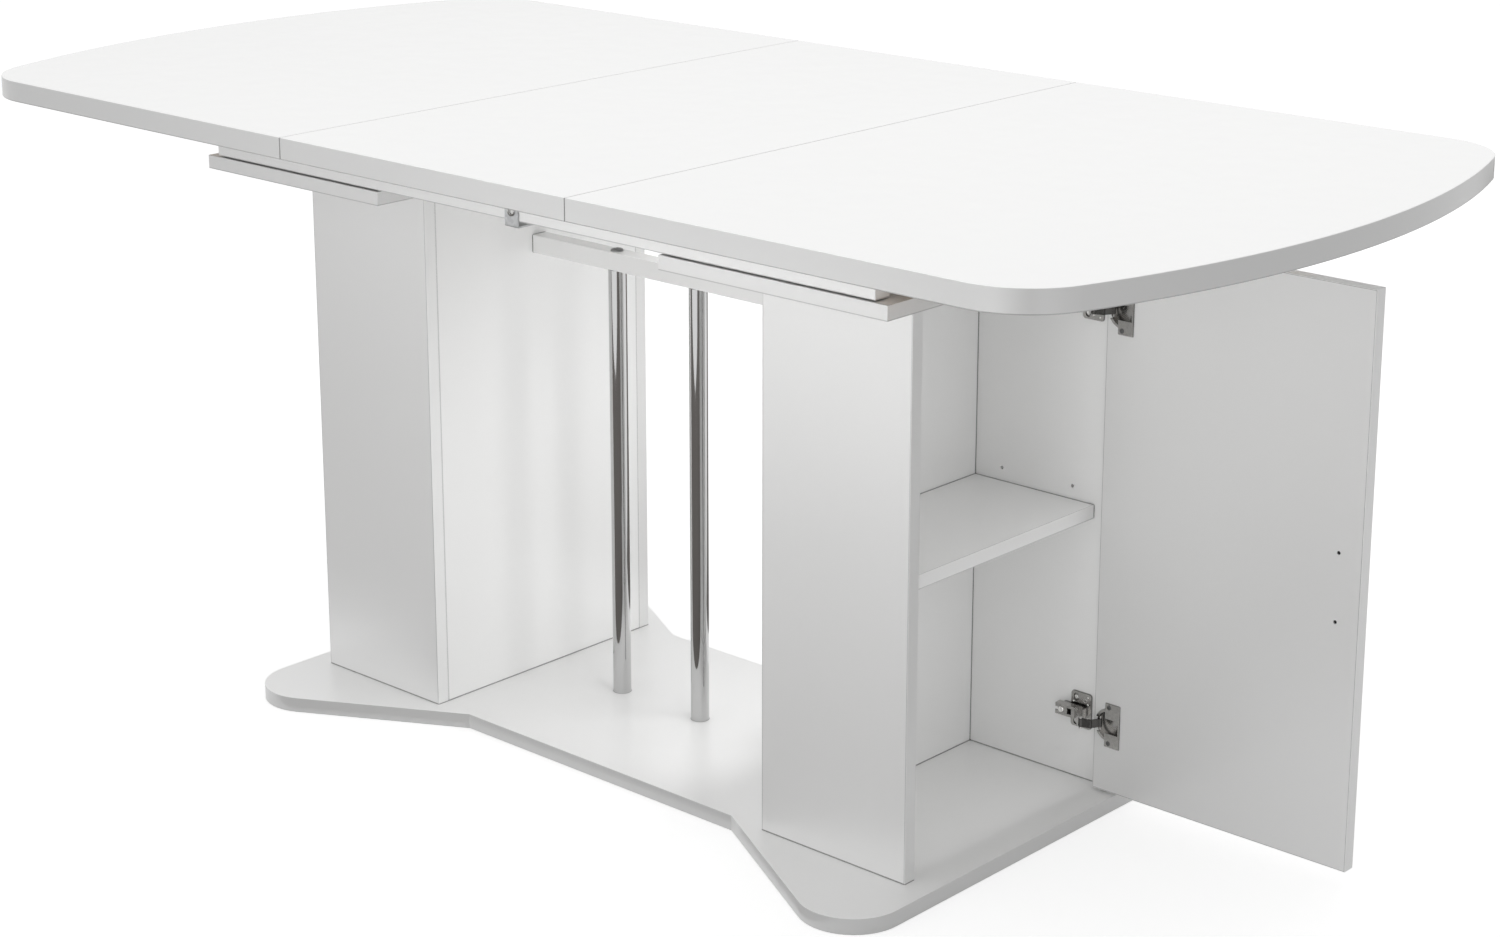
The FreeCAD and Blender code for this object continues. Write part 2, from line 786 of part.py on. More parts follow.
def hinge_plate(height):
    """A winged plate screwed to the panel, with a tall spine that the arm straddles."""
    start = cabinet_front - plate_back
    wing = block(start, start + plate_length, from_panel(plate_thickness), panel_in,
                 height - plate_height / 2, height + plate_height / 2)
    corners = [edge for edge in wing.Edges if edge.BoundBox.YLength > plate_thickness / 2]
    wing = wing.makeFillet(plate_corner_radius, corners)
    spine_half = arm_width / 2 - arm_wall - spine_gap
    spine_top = arm_height - arm_wall - spine_gap
    spine = block(cabinet_front - spine_back, cabinet_front - spine_front, from_panel(spine_top),
                  panel_in, height - spine_half, height + spine_half)
    cutters = [screw_hole(arm_screw_seat(height), Vector(0, 1, 0), small_screw_radius, arm_screw_length)]
    for seat in plate_screw_seats():
        cutters.append(slot_recess(seat))
        cutters.append(screw_hole(seat, Vector(0, 1, 0), small_screw_radius, plate_screw_length))
    well_x = cabinet_front - arm_window_start
    cutters.append(block(well_x, well_x + arm_window_length, from_panel(arm_height),
                         from_panel(plate_thickness), height - arm_window_width / 2,
                         height + arm_window_width / 2))
    return drilled(wing.fuse(spine), cutters)


def hinge_arm(height):
    """A bent channel: flat over the plate's spine, then cranked out to two ears at the link's end."""
    back = cabinet_front - arm_back
    bend = cabinet_front - arm_bend
    lean = Vector(arm_pin_x - bend, arm_pin_y - from_panel(arm_height / 2 + arm_skirt / 2), 0).normalize()
    side = Vector(lean.y, -lean.x, 0) * arm_ear_radius
    ear_far = (arm_pin_x + side.x, arm_pin_y + side.y)
    ear_near = (arm_pin_x - side.x, arm_pin_y - side.y)
    web, skirt = from_panel(arm_height), from_panel(arm_skirt)
    outline = [(back, skirt), (back, web), (bend, web), ear_far, ear_near,
               (cabinet_front - arm_skirt_end, skirt)]
    arm = prism(outline, height, arm_width)
    arm = arm.fuse(upright_rod(arm_ear_radius, arm_pin_x, arm_pin_y, height, arm_width))
    inside_height = arm_width - 2 * arm_wall
    web_inside = web + arm_wall
    inner = side * ((arm_ear_radius - arm_wall) / arm_ear_radius)
    inside = [(back - overcut, skirt + overcut), (back - overcut, web_inside), (bend, web_inside),
              (arm_pin_x + inner.x, arm_pin_y + inner.y),
              (arm_pin_x + arm_throat_reach, arm_pin_y + arm_throat_reach),
              (cabinet_front - arm_throat_start, skirt + overcut)]
    cutters = [prism(inside, height, inside_height)]
    cutters.append(upright_rod(arm_ear_room, arm_pin_x, arm_pin_y, height, inside_height))
    cutters.append(upright_rod(arm_rivet_radius + pin_clearance, arm_pin_x, arm_pin_y, height,
                               arm_width + overcut))
    fork = block(back - overcut, back + arm_fork, web - overcut, web_inside, height - arm_fork_width / 2,
                 height + arm_fork_width / 2)
    window_x = cabinet_front - arm_window_start
    window = block(window_x, window_x + arm_window_length, web - overcut, web_inside,
                   height - arm_window_width / 2, height + arm_window_width / 2)
    return drilled(arm, cutters + [fork, window])


def arm_rivets(height):
    """One headed rivet in each ear of the arm, flush on the inside."""
    rivets = []
    for sign in (-1, 1):
        seat = Vector(arm_pin_x, arm_pin_y, height + sign * arm_width / 2)
        stem = rod(arm_rivet_radius, seat, UP * -sign, arm_wall)
        rivets.append(stem.fuse(rod(arm_rivet_head, seat, UP * sign, arm_rivet_head_height)))
    return rivets


def arm_screw(height):
    return pan_screw(arm_screw_seat(height), Vector(0, 1, 0), small_head_radius, small_head_height,
                     small_screw_radius, arm_screw_length)


def plate_screws():
    return [pan_screw(seat, Vector(0, 1, 0), plate_screw_head_radius, plate_screw_head_height,
                      small_screw_radius, plate_screw_length) for seat in plate_screw_seats()]


def hinge_link(height):
    """The bowed link from the arm's ears to the cup's pin, with the door open."""
    start = Vector(arm_pin_x, arm_pin_y, 0)
    end = Vector(cup_pin_x, cup_pin_y, 0)
    along = (end - start).normalize()
    bow = start + along * link_bow_place + Vector(along.y, -along.x, 0) * link_bow
    eye = cup_pin_radius + link_end_slab / 2
    link = slab((start.x, start.y), (bow.x, bow.y), link_slab, height, link_height)
    link = link.fuse(slab((bow.x, bow.y), (end.x, end.y), link_end_slab, height, link_height))
    link = link.fuse(upright_rod(link_slab / 2, bow.x, bow.y, height, link_height))
    link = link.fuse(upright_rod(arm_ear_radius, start.x, start.y, height, link_height))
    link = link.fuse(upright_rod(eye, end.x, end.y, height, link_height))
    bores = [upright_rod(arm_rivet_radius + pin_clearance, start.x, start.y, height, link_height + overcut),
             upright_rod(cup_pin_radius + pin_clearance, end.x, end.y, height, link_height + overcut)]
    return drilled(link, bores)


# ---- assembly ----------------------------------------------------------------------------------
def cabinet_nodes():
    """The fixed pieces of the right-hand cabinet."""
    return {
        "front_panel": front_copy(side_panel()),
        "rear_panel": rear_panel(),
        "back_panel": back_panel(),
        "shelf": shelf(),
        "shelf_pins": shelf_pins(),
        "deck_board": deck_board(),
        "hinge_plates": group(hinge_plate(height) for height in hinge_heights),
        "hinge_arms": group(hinge_arm(height) for height in hinge_heights),
    }


def door_nodes():
    """The pieces that swing with the right-hand door, with the door closed."""
    return {
        "door": door(),
        "handle": handle(),
        "handle_studs": handle_studs(),
        "hinge_cups": group(hinge_cup(height) for height in hinge_heights),
        "cup_screws": cup_screws(),
        "cup_pins": group(cup_pin(height) for height in hinge_heights),
    }


def both_ends(solids):
    """Loose pieces of both cabinets in one node."""
    return group(solids + [mirrored(solid) for solid in solids])


nodes = {"base_plate": base_plate(), "insert_leaf": insert_leaf()}
for name, shape in cabinet_nodes().items():
    nodes["right_" + name] = shape
    nodes["left_" + name] = mirrored(shape)
for name, shape in door_nodes().items():
    nodes["right_" + name] = turned(shape, turn_x, turn_y, 90)
    nodes["left_" + name] = mirrored(shape)

links_open = group(hinge_link(height) for height in hinge_heights)
nodes["right_hinge_links"] = links_open
nodes["left_hinge_links"] = mirrored(turned(links_open, arm_pin_x, arm_pin_y, link_turn))

for name, shape in {"top_half": top_half(), "runner_bars": runner_bars(),
                    "runner_screws": runner_screws()}.items():
    nodes["right_" + name] = shape
    nodes["left_" + name] = mirrored(shape)

for name, x in zip(("left_pole", "middle_pole", "right_pole"), pole_places()):
    nodes[name] = pole(x)
nodes["pole_plugs"] = pole_plugs()
nodes["pole_beam"] = pole_beam()
nodes["pole_bolts"] = group(pole_bolt(x) for x in pole_places())
nodes["pole_floor_screws"] = group(pole_floor_screw(x) for x in pole_places())
nodes["beam_screws"] = both_ends([beam_screw()])

nodes["rear_rail"] = rear_rail()
nodes["front_rail"] = front_copy(rear_rail())
nodes["rear_guide"] = rear_guide()
nodes["front_guide"] = front_copy(rear_guide())
nodes["rail_spacers"] = rail_spacers()
nodes["centre_strap"] = centre_strap()
nodes["strap_screws"] = strap_screws()

nodes["rail_screws"] = both_ends(rail_screws())
nodes["deck_screws"] = both_ends(deck_screws())
nodes["base_screws"] = both_ends(base_screws())
nodes["panel_dowels"] = both_ends(dowels())
nodes["hinge_plate_screws"] = both_ends(plate_screws())
nodes["hinge_arm_screws"] = both_ends([arm_screw(height) for height in hinge_heights])
nodes["hinge_arm_rivets"] = both_ends([rivet for height in hinge_heights for rivet in arm_rivets(height)])

os.makedirs("parts", exist_ok=True)
for name, shape in nodes.items():
    shape.exportStep("parts/" + name + ".step")
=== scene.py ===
import math

import bpy
import numpy as np
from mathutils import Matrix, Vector


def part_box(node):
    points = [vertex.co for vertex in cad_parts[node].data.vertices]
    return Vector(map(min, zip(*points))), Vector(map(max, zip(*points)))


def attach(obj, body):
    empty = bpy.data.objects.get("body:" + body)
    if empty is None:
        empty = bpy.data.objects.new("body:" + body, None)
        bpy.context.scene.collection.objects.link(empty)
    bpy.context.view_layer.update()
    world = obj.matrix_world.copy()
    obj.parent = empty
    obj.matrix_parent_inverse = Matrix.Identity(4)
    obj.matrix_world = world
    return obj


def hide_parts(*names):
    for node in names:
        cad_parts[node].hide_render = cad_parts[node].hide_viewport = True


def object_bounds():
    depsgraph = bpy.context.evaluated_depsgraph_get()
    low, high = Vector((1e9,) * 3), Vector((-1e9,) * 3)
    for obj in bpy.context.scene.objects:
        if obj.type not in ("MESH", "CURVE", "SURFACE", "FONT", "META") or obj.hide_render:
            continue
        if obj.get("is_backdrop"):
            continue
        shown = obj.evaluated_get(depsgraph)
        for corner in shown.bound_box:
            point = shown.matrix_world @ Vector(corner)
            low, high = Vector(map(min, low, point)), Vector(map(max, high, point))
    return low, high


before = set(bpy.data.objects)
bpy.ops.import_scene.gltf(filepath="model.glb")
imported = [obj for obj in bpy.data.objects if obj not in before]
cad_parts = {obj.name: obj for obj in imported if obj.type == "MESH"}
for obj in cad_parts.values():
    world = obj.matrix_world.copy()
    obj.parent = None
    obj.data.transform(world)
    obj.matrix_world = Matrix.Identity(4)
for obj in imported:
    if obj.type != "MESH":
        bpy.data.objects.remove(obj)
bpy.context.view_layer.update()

scene = bpy.context.scene

# ==== studio =====================================================================================
# The table stands on a white floor that runs out of sight. A broad softbox hangs over it, two stand
# behind and one in front, the floor throws light back up, and small lamps lift what the top shades:
# rails, beam, panels, the middle and the open cabinet. The camera looks down from the right front.
MM = 0.001
image_width, image_height = 1500, 937
focal_pixels = 2928.0
horizon_row = 319.2
camera_place = (2.2396, -2.3740, 1.3888)
camera_turn = 42.283
camera_tilt = 15.025

camera_data = bpy.data.cameras.new("studio_camera")
camera_data.sensor_width = 36.0
camera_data.lens = camera_data.sensor_width * focal_pixels / image_width
camera_data.shift_y = (horizon_row - image_height / 2) / image_width
camera_data.clip_start = 0.05
camera_data.clip_end = 100.0
camera = bpy.data.objects.new("studio_camera", camera_data)
camera.location = camera_place
camera.rotation_euler = (math.radians(90 - camera_tilt), 0, math.radians(camera_turn))
scene.collection.objects.link(camera)
scene.camera = camera
scene.view_settings.view_transform = "Standard"


def softbox(name, place, aim, width, depth, watts, spread=180.0, mirrored=False):
    """A soft rectangular lamp that isn't seen; only a mirrored one shows in chrome and foil."""
    lamp = bpy.data.lights.new(name, "AREA")
    lamp.shape = "RECTANGLE"
    lamp.size = width
    lamp.size_y = depth
    lamp.energy = watts
    lamp.spread = math.radians(spread)
    holder = bpy.data.objects.new(name, lamp)
    holder.location = place
    holder.rotation_euler = (Vector(aim) - Vector(place)).to_track_quat("-Z", "Y").to_euler()
    holder.visible_camera = False
    holder.visible_glossy = mirrored
    scene.collection.objects.link(holder)


softbox("overhead_softbox", place=(0.5, -0.3, 3.2), aim=(0.1, 0.0, 0.0),
        width=3.2, depth=2.4, watts=19.5, mirrored=True)
softbox("low_rear_softbox", place=(0.50, 1.9, 0.5), aim=(-0.2, 0.0, 0.3),
        width=1.2, depth=0.8, watts=2.5)
softbox("rear_softbox", place=(-0.1, 3.2, 1.5), aim=(0.0, 0.0, 0.1),
        width=2.6, depth=1.8, watts=8.0)
softbox("front_softbox", place=(-0.3, -3.0, 0.9), aim=(0.0, 0.0, 0.5),
        width=2.4, depth=0.8, watts=3.2)
softbox("under_top_light", place=(0.42, -1.9, 0.50), aim=(0.32, -0.1, 0.68),
        width=1.4, depth=0.3, watts=0.75, spread=42.0)
softbox("right_panel_light", place=(0.36, -0.85, 0.60), aim=(0.33, -0.17, 0.66),
        width=0.6, depth=0.08, watts=0.06, spread=50.0)
softbox("middle_fill", place=(0.19, 0.0, 0.30), aim=(-0.26, 0.0, 0.29),
        width=0.34, depth=0.42, watts=0.80, spread=145.0)
softbox("beam_light", place=(0.08, 0.0, 0.668), aim=(0.08, 0.0, 0.0),
        width=0.34, depth=0.05, watts=0.16)
cabinet_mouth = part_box("right_rear_panel")[1].x
for level, height in (("lower", 0.185), ("upper", 0.49)):
    softbox(level + "_cabinet_fill", place=(cabinet_mouth, 0.0, height), aim=(0.0, 0.0, height),
            width=0.31, depth=0.29, watts=0.095, mirrored=True)
softbox("floor_bounce", place=(0.0, 0.0, 0.001), aim=(0.0, 0.0, 1.0),
        width=7.0, depth=7.0, watts=10.0)


def step(tree, kind, values=None, **settings):
    """A node with its settings, and its inputs set or linked by name or number."""
    node = tree.nodes.new(kind)
    for key, value in settings.items():
        setattr(node, key, value)
    for key, value in (values or {}).items():
        if isinstance(value, bpy.types.NodeSocket):
            tree.links.new(value, node.inputs[key])
        else:
            node.inputs[key].default_value = value
    return node


def sum_of(tree, operation, first, second=None):
    """A sum that the tree works out from one or two numbers."""
    values = {0: first} if second is None else {0: first, 1: second}
    return step(tree, "ShaderNodeMath", values, operation=operation).outputs[0]


def between(tree, factor, low, high, start=0.0, end=1.0):
    """Runs from low to high while the factor runs from start to end, and stays level outside."""
    return step(tree, "ShaderNodeMapRange", {"Value": factor, "From Min": start, "From Max": end,
                "To Min": low, "To Max": high}).outputs["Result"]


def looked_at(tree):
    """1 where the camera looks, directly or by way of chrome, and 0 for light on the object."""
    path = step(tree, "ShaderNodeLightPath").outputs
    seen = sum_of(tree, "MAXIMUM", path["Is Camera Ray"], path["Is Glossy Ray"])
    return sum_of(tree, "MAXIMUM", seen, path["Is Transmission Ray"])


# The room is seen as plain white, and lights the table more from the left than from the right.
white = (1.0, 1.0, 1.0, 1.0)
left_room_level = 0.84
right_room_level = 0.42
world = bpy.data.worlds.new("studio_room")
scene.world = world
world.use_nodes = True
sky = world.node_tree
sky.nodes.clear()
direction = step(sky, "ShaderNodeTexCoord").outputs["Generated"]
towards_right = step(sky, "ShaderNodeSeparateXYZ", {0: direction}).outputs["X"]
room_level = between(sky, towards_right, left_room_level, right_room_level, start=-0.2, end=1.0)
room_light = step(sky, "ShaderNodeBackground", {"Color": white, "Strength": room_level})
room_seen = step(sky, "ShaderNodeBackground", {"Color": white, "Strength": 1.0})
room = step(sky, "ShaderNodeMixShader", {0: looked_at(sky), 1: room_light.outputs[0],
            2: room_seen.outputs[0]})
step(sky, "ShaderNodeOutputWorld", {"Surface": room.outputs[0]})

# The floor's paint is seen a little brighter than it is lit, so that only the shadow shows.
floor_grey = (0.45, 0.45, 0.45, 1.0)
floor_glow = 0.70
floor_paint = bpy.data.materials.new("studio_floor_paint")
floor_paint.use_nodes = True
floor_tree = floor_paint.node_tree
floor_tree.nodes.clear()
floor_matt = step(floor_tree, "ShaderNodeBsdfDiffuse", {"Color": floor_grey})
floor_lift = sum_of(floor_tree, "MULTIPLY", looked_at(floor_tree), floor_glow)
floor_light = step(floor_tree, "ShaderNodeEmission", {"Color": white, "Strength": floor_lift})
floor_both = step(floor_tree, "ShaderNodeAddShader", {0: floor_matt.outputs[0],
                  1: floor_light.outputs[0]})
step(floor_tree, "ShaderNodeOutputMaterial", {"Surface": floor_both.outputs[0]})


def flat_sheet(name, corners, height, paint):
    """A sheet without thickness that lies level at this height."""
    mesh = bpy.data.meshes.new(name)
    mesh.from_pydata([(x, y, height) for x, y in corners], [], [tuple(range(len(corners)))])
    mesh.materials.append(paint)
    sheet = bpy.data.objects.new(name, mesh)
    scene.collection.objects.link(sheet)
    return sheet


floor_reach = 40.0
floor_height = -0.5 * MM
studio_floor = flat_sheet("studio_floor", [(-floor_reach, -floor_reach), (floor_reach, -floor_reach),
                          (floor_reach, floor_reach), (-floor_reach, floor_reach)],
                          floor_height, floor_paint)
studio_floor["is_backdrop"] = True


def finish_of(name):
    """A new material with its shader; every finish below starts from it."""
    finish = bpy.data.materials.new(name)
    finish.use_nodes = True
    tree = finish.node_tree
    return finish, tree, tree.nodes["Principled BSDF"]


# Two dark cards lie on the floor, before and behind the table. Only mirrored rays meet them: they
# give the chrome its dark streaks and the foil a soft fall-off above the base plate.
card_height = 2.0 * MM
card_paint, _, card_shader = finish_of("studio_card_paint")
card_shader.inputs["Base Color"].default_value = (0.185, 0.170, 0.160, 1.0)
card_shader.inputs["Roughness"].default_value = 0.9


def dark_card(name, corners):
    card = flat_sheet(name, corners, card_height, card_paint)
    card.visible_camera = False
    card.visible_diffuse = False
    card.visible_shadow = False
    card.visible_transmission = False
    card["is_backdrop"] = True


dark_card("front_card", [(-2.2, -2.4), (-1.05, -1.62), (0.12, -1.45), (0.9, -1.55), (1.9, -2.4),
                         (3.6, -2.9), (1.3, -0.34), (0.5, -0.34), (0.22, -0.19), (-0.22, -0.19),
                         (-0.5, -0.34), (-2.2, -0.34)])
dark_card("rear_card", [(-2.2, 4.0), (0.5, 4.0), (0.3, 0.33), (-0.75, 0.33)])

# ==== base plate =================================================================================
# One bow-tie board of 18 mm chipboard, faced with silky white foil and edged all round. It lies flat
# on the floor, and the cabinets and poles are screwed to it from below.
X, Y, Z = 0, 1, 2
foil_tone = (0.905, 0.905, 0.90)
foil_gloss = 0.32
foil_gloss_range = 0.03
foil_peel = 0.000004
foil_ior = 2.0
# Upright faces are greyed partly for the banding's own tone and partly as painted shade.
banding_and_shade_tone = 0.82
# Width of the painted shade along a board's lower arris.
arris_shade_width = 1.6 * MM


def surface_place(tree, stretch=(1.0, 1.0, 1.0)):
    """Where a point lies on the piece, stretched along an axis if the pattern runs that way."""
    where = step(tree, "ShaderNodeTexCoord").outputs["Object"]
    return step(tree, "ShaderNodeMapping", {"Vector": where, "Scale": stretch}).outputs["Vector"]


def cloud(tree, place, scale, detail=3.0, roughness=0.5):
    """Uneven patches, smaller with a larger scale."""
    return step(tree, "ShaderNodeTexNoise", {"Vector": place, "Scale": scale, "Detail": detail,
                "Roughness": roughness}).outputs["Fac"]


def blend_colours(tree, factor, low, high, start=0.3, end=0.7):
    """One colour up to the start, the other from the end on, and a blend in between."""
    ramp = step(tree, "ShaderNodeValToRGB", {"Fac": factor})
    ramp.color_ramp.elements[0].position = start
    ramp.color_ramp.elements[0].color = (*low, 1.0)
    ramp.color_ramp.elements[1].position = end
    ramp.color_ramp.elements[1].color = (*high, 1.0)
    return ramp.outputs["Color"]


def covered(tree, shader, colour, roughness):
    """Gives the shader a colour and a roughness that vary over the piece."""
    tree.links.new(colour, shader.inputs["Base Color"])
    tree.links.new(roughness, shader.inputs["Roughness"])


def relief(tree, shader, height, distance):
    """Raises the surface by a pattern, at most by the distance in metres."""
    bump = step(tree, "ShaderNodeBump", {"Height": height, "Distance": distance})
    tree.links.new(bump.outputs["Normal"], shader.inputs["Normal"])
    return bump


def dulled(tone, share):
    return tuple(channel * share for channel in tone)


def white_foil(name, tone, gloss, peel, mottle_tone=0.992):
    """Foil on board: faint mottling of the board under it, fine peel, slightly uneven gloss."""
    finish, tree, shader = finish_of(name)
    place = surface_place(tree)
    mottle = cloud(tree, place, scale=7.0, detail=4.0)
    sheen = cloud(tree, place, scale=35.0, detail=2.0)
    covered(tree, shader, blend_colours(tree, mottle, dulled(tone, mottle_tone), tone),
            between(tree, sheen, gloss - foil_gloss_range, gloss + foil_gloss_range))
    shader.inputs["IOR"].default_value = foil_ior
    relief(tree, shader, cloud(tree, place, scale=160.0, detail=2.0), peel)
    return finish


def tinted(finish, factor):
    """Multiplies the finish's colour by a factor that varies over the piece."""
    tree = finish.node_tree
    colour = tree.nodes["Principled BSDF"].inputs["Base Color"]
    tint = step(tree, "ShaderNodeVectorMath", {0: colour.links[0].from_socket, "Scale": factor},
                operation="SCALE")
    tree.links.new(tint.outputs["Vector"], colour)
    return finish


def place_along(tree, axis):
    """How far along an axis a point lies."""
    where = step(tree, "ShaderNodeTexCoord").outputs["Object"]
    return step(tree, "ShaderNodeSeparateXYZ", {0: where}).outputs[axis]


def faces_along(tree, axis):
    """1 where the surface faces squarely along an axis, either way, and 0 where it runs along it."""
    facing = step(tree, "ShaderNodeTexCoord").outputs["Normal"]
    share = step(tree, "ShaderNodeSeparateXYZ", {0: facing}).outputs[axis]
    return sum_of(tree, "ABSOLUTE", share)


def banded_and_shaded(finish, tone):
    """Greys the upright narrow faces of a board: partly the banding's own tone, partly painted shade."""
    tree = finish.node_tree
    return tinted(finish, between(tree, faces_along(tree, Z), tone, 1.0, start=0.6, end=0.8))


def crease_shaded(finish, reach=1.8 * MM, tone=0.25):
    """Paints shade into the colour before a crease, where pieces meet and little light reaches."""
    tree = finish.node_tree
    open_sky = step(tree, "ShaderNodeAmbientOcclusion", {"Distance": reach}, samples=12)
    return tinted(finish, between(tree, open_sky.outputs["AO"], tone, 1.0, start=0.5, end=0.85))


def low_arris_shaded(finish, level, tone=0.62):
    """Paints shade on the eased lower edge of a board, round its upright faces, down at this height."""
    tree = finish.node_tree
    line = between(tree, place_along(tree, Z), tone, 1.0, level + arris_shade_width / 2, level + arris_shade_width)
    broad_face = between(tree, faces_along(tree, Z), 0.0, 1.0, start=0.7, end=0.95)
    return tinted(finish, sum_of(tree, "MAXIMUM", line, broad_face))


def wears(finish, *names):
    """These pieces of the frame take the finish."""
    for name in names:
        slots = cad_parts[name].data.materials
        slots.clear()
        slots.append(finish)


base_foil = white_foil("silky_white_foil", foil_tone, foil_gloss, foil_peel)
# Painted shade darkens the base plate's creases, and greys its upright faces along with the banding's
# own tone.
wears(crease_shaded(banded_and_shaded(base_foil, banding_and_shade_tone)), "base_plate")

# ==== cabinet boards, deck boards and doors ======================================================
# Boards of 16 mm chipboard under the same foil. Their narrow faces carry a 0.8 mm plastic edge
# strip, which shows as a border round the broad faces with a hairline glue joint beside it.
# The strip tones are partly the strip's own grey and partly painted shade; front panels and doors get
# lighter ones as painted light.
strip_thickness = 0.8 * MM
joint_width = 0.3 * MM
joint_tone = 0.30
plain_strip_and_shade_tone = 0.90
front_strip_and_shade_tone = 0.97
door_strip_and_shade_tone = 1.0


def edged_board(name, flat_axis, strip_and_shade_tone):
    """Foil and edge strip of a square-cut board, with painted shade; flat_axis is across its thickness.
    """
    finish = white_foil(name + "_foil", foil_tone, foil_gloss, foil_peel)
    tree = finish.node_tree
    low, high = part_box(name)
    where = step(tree, "ShaderNodeTexCoord").outputs["Object"]
    off_middle = step(tree, "ShaderNodeVectorMath", {0: where, 1: (low + high) / 2},
                      operation="SUBTRACT")
    either_way = step(tree, "ShaderNodeVectorMath", {0: off_middle.outputs["Vector"]},
                      operation="ABSOLUTE")
    past_edges = step(tree, "ShaderNodeVectorMath", {0: either_way.outputs["Vector"],
                      1: (high - low) / 2}, operation="SUBTRACT")
    split = step(tree, "ShaderNodeSeparateXYZ", {0: past_edges.outputs["Vector"]})
    first, second = (split.outputs[axis] for axis in (X, Y, Z) if axis != flat_axis)
    inside = sum_of(tree, "MULTIPLY", sum_of(tree, "MAXIMUM", first, second), -1.0)
    on_foil = between(tree, inside, 0.0, 1.0, strip_thickness, strip_thickness + joint_width)
    strip = between(tree, on_foil, strip_and_shade_tone, 1.0)
    off_joint = sum_of(tree, "SUBTRACT", inside, strip_thickness + joint_width / 2)
    joint = between(tree, sum_of(tree, "ABSOLUTE", off_joint), joint_tone, 1.0,
                    joint_width / 4, joint_width)
    tinted(finish, sum_of(tree, "MULTIPLY", joint, strip))
    if flat_axis == Z:
        low_arris_shaded(finish, low.z)
    wears(crease_shaded(finish), name)


cabinet_boards = (("front_panel", Y, front_strip_and_shade_tone), ("rear_panel", Y, plain_strip_and_shade_tone),
                  ("back_panel", X, plain_strip_and_shade_tone), ("shelf", Z, plain_strip_and_shade_tone),
                  ("deck_board", Z, plain_strip_and_shade_tone))
for side in ("right_", "left_"):
    for piece, flat_axis, strip_and_shade_tone in cabinet_boards:
        edged_board(side + piece, flat_axis, strip_and_shade_tone)
edged_board("right_door", Y, door_strip_and_shade_tone)
edged_board("left_door", X, door_strip_and_shade_tone)

# ==== shelf pins and panel dowels ================================================================
# Bright steel pegs with a flat on top carry the loose shelves. Turned beech pegs, glued in, line
# the panels up with each other.
polish_height = 0.000004
beech_grain_height = 0.00006
beech_dark = (0.50, 0.33, 0.18)
beech_light = (0.69, 0.50, 0.32)
beech_gloss_range = (0.48, 0.62)


def plated(name, tone, gloss, streak, scale, dull=0.93, eased=0.0):
    """Plated metal with fine uneven polish along the given direction, and edges eased by tumbling."""
    finish, tree, shader = finish_of(name)
    polish = cloud(tree, surface_place(tree, streak), scale)
    covered(tree, shader, blend_colours(tree, polish, dulled(tone, dull), tone),
            between(tree, polish, gloss * 0.8, gloss * 1.2))
    shader.inputs["Metallic"].default_value = 1.0
    bump = relief(tree, shader, polish, polish_height)
    if eased:
        rounding = step(tree, "ShaderNodeBevel", {"Radius": eased}, samples=8)
        tree.links.new(rounding.outputs["Normal"], bump.inputs["Normal"])
    return finish


def beech(name, along):
    """Planed beech, with its short flecks and growth lines drawn out along the grain."""
    finish, tree, shader = finish_of(name)
    grain = cloud(tree, surface_place(tree, along), scale=90.0, detail=6.0, roughness=0.62)
    covered(tree, shader, blend_colours(tree, grain, beech_dark, beech_light),
            between(tree, grain, *beech_gloss_range))
    relief(tree, shader, grain, beech_grain_height)
    return finish


even = (1.0, 1.0, 1.0)
screw_zinc = plated("bright_zinc", tone=(0.62, 0.62, 0.61), gloss=0.28, streak=even, scale=400.0)
wears(screw_zinc, "right_shelf_pins", "left_shelf_pins")
wears(beech("turned_beech_peg", along=(1.0, 0.05, 1.0)), "panel_dowels")

# ==== screws =====================================================================================
# Every screw is a cross-recess steel one: a domed pan head, or a flat countersunk one, on a threaded
# shank. They are set out where the frame has them, each stopped at its own angle.


def islands(name):
    """The boxes of the separate solids in a piece of the frame."""
    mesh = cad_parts[name].data
    points = np.empty(len(mesh.vertices) * 3)
    mesh.vertices.foreach_get("co", points)
    points = points.reshape(-1, 3)
    joined, same = np.unique(np.round(points * 1e6).astype(np.int64), axis=0, return_inverse=True)
    same = same.reshape(-1)
    group = list(range(len(joined)))

    def leader(index):
        while group[index] != index:
            group[index] = group[group[index]]
            index = group[index]
        return index

    for edge in mesh.edges:
        first, second = leader(same[edge.vertices[0]]), leader(same[edge.vertices[1]])
        group[first] = second
    owners = np.array([leader(index) for index in range(len(joined))])[same]
    boxes = []
    for owner in sorted(set(owners), key=lambda key: tuple(points[owners == key].min(0).round(5))):
        own = points[owners == owner]
        boxes.append((Vector(own.min(0)), Vector(own.max(0))))
    return boxes


def seats(name, facing, head_height):
    """Where each screw's head meets its board, for screws that face one way."""
    facing = Vector(facing)
    found = []
    for low, high in islands(name):
        middle, half = (low + high) / 2, (high - low) / 2
        reach = sum(abs(half[axis] * facing[axis]) for axis in (X, Y, Z))
        found.append((middle + facing * (reach - head_height * MM), facing))
    return found


def both_ways(name, axis, head_height):
    """The same for screws on both sides of the middle, facing away from each other."""
    found = []
    for low, high in islands(name):
        facing = Vector((0.0, 0.0, 0.0))
        facing[axis] = 1.0 if (low + high)[axis] > 0 else -1.0
        reach = (high - low)[axis] / 2
        found.append(((low + high) / 2 + facing * (reach - head_height * MM), facing))
    return found


def set_input(modifier, label, value):
    """Sets a tree's named input by the identifier of its socket."""
    for item in modifier.node_group.interface.items_tree:
        if item.item_type == "SOCKET" and item.in_out == "INPUT" and item.name == label:
            modifier[item.identifier] = value
            return
    raise KeyError(label)


